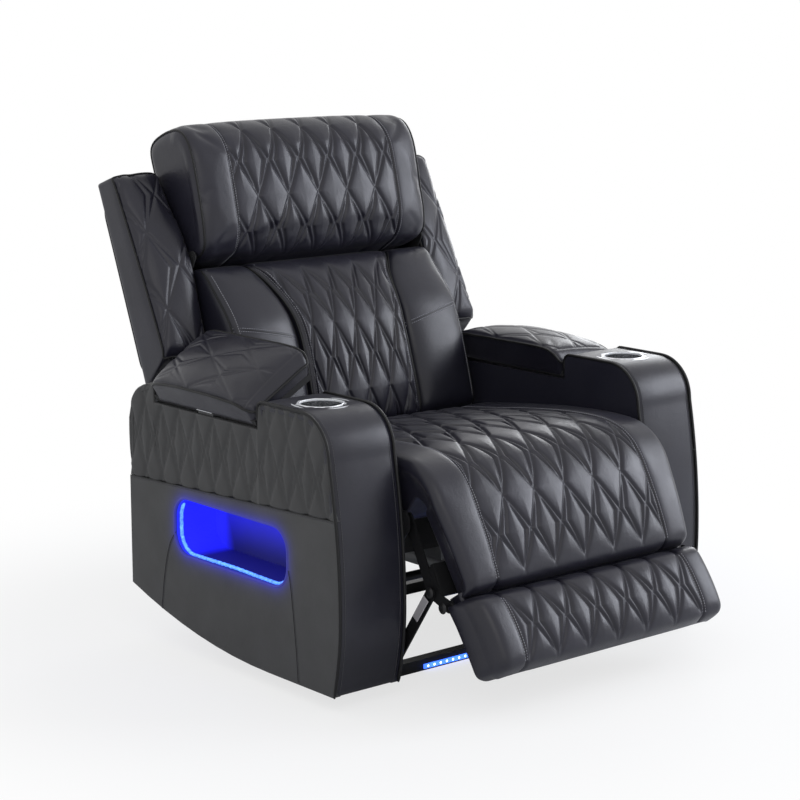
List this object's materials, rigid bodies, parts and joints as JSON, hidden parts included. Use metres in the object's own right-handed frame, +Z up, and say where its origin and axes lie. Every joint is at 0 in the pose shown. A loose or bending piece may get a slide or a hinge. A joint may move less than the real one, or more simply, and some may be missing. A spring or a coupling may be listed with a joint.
{
  "type": "power recliner chair",
  "caption": "Power recliner armchair with quilted seat, extending legrest, reclining back, tilting headrest, lidded arm storage, cup holders and lit side niches.",
  "frame": {"origin": "on the floor under the middle of the chair", "axes": "-Y the way the chair faces, +X to the right of the picture seen from the front, +Z up"},
  "size_m": [0.9976, 1.1297, 1.0497],
  "materials": {
    "leather": "satin",
    "side_leather": "satin",
    "lined_board": "matte",
    "black_steel": "satin",
    "spring_steel": "satin",
    "chrome": "polished",
    "grey_plastic": "matte",
    "black_plastic": "gloss",
    "blue_light": "gloss"
  },
  "bodies": {
    "base": {"base_rail_left": "black_steel", "base_rail_right": "black_steel", "base_rail_front": "black_steel", "base_rail_rear": "black_steel", "light_strip": "blue_light", "power_inlet": "black_plastic"},
    "seat": {"side_plate_left": "black_steel", "side_plate_right": "black_steel", "seat_rail_front": "black_steel", "seat_rail_rear": "black_steel", "seat_springs": "spring_steel", "seat_cushion": "leather", "legrest_actuator": "grey_plastic", "recline_actuator": "grey_plastic", "control_plate": "black_plastic", "arm_left_outer_panel": "side_leather", "arm_left_quilted_band": "side_leather", "arm_left_inner_panel": "side_leather", "arm_left_front_cover": "leather", "arm_left_rear_panel": "side_leather", "arm_left_niche_box": "black_plastic", "arm_left_niche_light": "blue_light", "arm_left_storage_tray": "black_plastic", "arm_left_cup": "chrome", "arm_left_cup_ring": "chrome", "arm_right_outer_panel": "side_leather", "arm_right_quilted_band": "side_leather", "arm_right_inner_panel": "side_leather", "arm_right_front_cover": "leather", "arm_right_rear_panel": "side_leather", "arm_right_niche_box": "black_plastic", "arm_right_niche_light": "blue_light", "arm_right_storage_tray": "black_plastic", "arm_right_cup": "chrome", "arm_right_cup_ring": "chrome"},
    "legrest_drive": {"drive_tube": "black_steel"},
    "legrest_struts": {"legrest_strut_left": "black_steel", "legrest_strut_right": "black_steel"},
    "calf_rest": {"calf_frame": "black_steel", "calf_pad": "leather"},
    "footrest": {"footrest_frame": "black_steel", "footrest_pad": "leather"},
    "legrest_rod": {"legrest_rod": "chrome"},
    "back": {"back_frame": "lined_board", "recline_lever": "black_steel", "back_rear_cover": "side_leather", "lumbar_cushion": "leather", "bolster_left": "leather", "bolster_right": "leather", "wing_left": "leather", "wing_right": "leather"},
    "headrest": {"headrest_frame": "lined_board", "headrest_pad": "leather"},
    "recline_rod": {"recline_rod": "chrome"},
    "lid_left": {"lid_left_board": "lined_board", "lid_left_pad": "leather"},
    "lid_right": {"lid_right_board": "lined_board", "lid_right_pad": "leather"},
    "recline_rocker": {"recline_rocker": "grey_plastic"},
    "headrest_rocker": {"headrest_rocker": "grey_plastic"}
  },
  "joints": [
    {"name": "tilt", "type": "hinge", "parent": "base", "child": "seat", "pos_m": [0, -0.01, 0.13], "axis": [-1, 0, 0], "range_deg": [-1.1, 5]},
    {"name": "legrest", "type": "hinge", "parent": "seat", "child": "calf_rest", "pos_m": [0, -0.322, 0.352], "axis": [-1, 0, 0], "range_deg": [-25, 60]},
    {"name": "legrest_drive", "type": "hinge", "parent": "seat", "child": "legrest_drive", "pos_m": [0, -0.222, 0.202], "axis": [-1, 0, 0], "range_deg": [-25.2, 60.2]},
    {"name": "legrest_strut", "type": "hinge", "parent": "legrest_drive", "child": "legrest_struts", "pos_m": [0, -0.2901, 0.06835], "axis": [-1, 0, 0], "range_deg": [-60.2, 25.2]},
    {"name": "footrest", "type": "hinge", "parent": "calf_rest", "child": "footrest", "pos_m": [0, -0.43717, 0.20305], "axis": [-1, 0, 0], "range_deg": [-3.1, 7.3]},
    {"name": "legrest_rod", "type": "slide", "parent": "seat", "child": "legrest_rod", "axis": [0, -1, 0], "range_m": [-0.028, 0.067]},
    {"name": "recline", "type": "hinge", "parent": "seat", "child": "back", "pos_m": [0, 0.25, 0.32], "axis": [-1, 0, 0], "range_deg": [-7, 33]},
    {"name": "recline_rod", "type": "slide", "parent": "seat", "child": "recline_rod", "axis": [0, -1, 0], "range_m": [-0.0093, 0.0434]},
    {"name": "headrest", "type": "hinge", "parent": "back", "child": "headrest", "pos_m": [0, 0.38085, 0.78267], "axis": [1, 0, 0], "range_deg": [0, 30]},
    {"name": "lid_left", "type": "hinge", "parent": "seat", "child": "lid_left", "pos_m": [-0.484, 0.1, 0.5185], "axis": [0, -1, 0], "range_deg": [-30, 60]},
    {"name": "lid_right", "type": "hinge", "parent": "seat", "child": "lid_right", "pos_m": [0.484, 0.1, 0.5185], "axis": [0, 1, 0], "range_deg": [0, 90]},
    {"name": "recline_rocker", "type": "hinge", "parent": "seat", "child": "recline_rocker", "pos_m": [-0.3257, -0.1548, 0.5], "axis": [0, 0, 1], "range_deg": [-6, 6], "stiffness_Nm_per_rad": 0.02},
    {"name": "headrest_rocker", "type": "hinge", "parent": "seat", "child": "headrest_rocker", "pos_m": [-0.3257, -0.1152, 0.5], "axis": [0, 0, 1], "range_deg": [-6, 6], "stiffness_Nm_per_rad": 0.02}
  ],
  "couplings": [
    {"joint": "tilt", "follows": "recline", "ratio": 0.15},
    {"joint": "recline_rod", "follows": "recline", "m_per_rad": 0.075},
    {"joint": "legrest_drive", "follows": "legrest", "ratio": 1},
    {"joint": "legrest_strut", "follows": "legrest", "ratio": -1},
    {"joint": "footrest", "follows": "legrest", "ratio": 0.12},
    {"joint": "legrest_rod", "follows": "legrest", "m_per_rad": 0.0638}
  ]
}
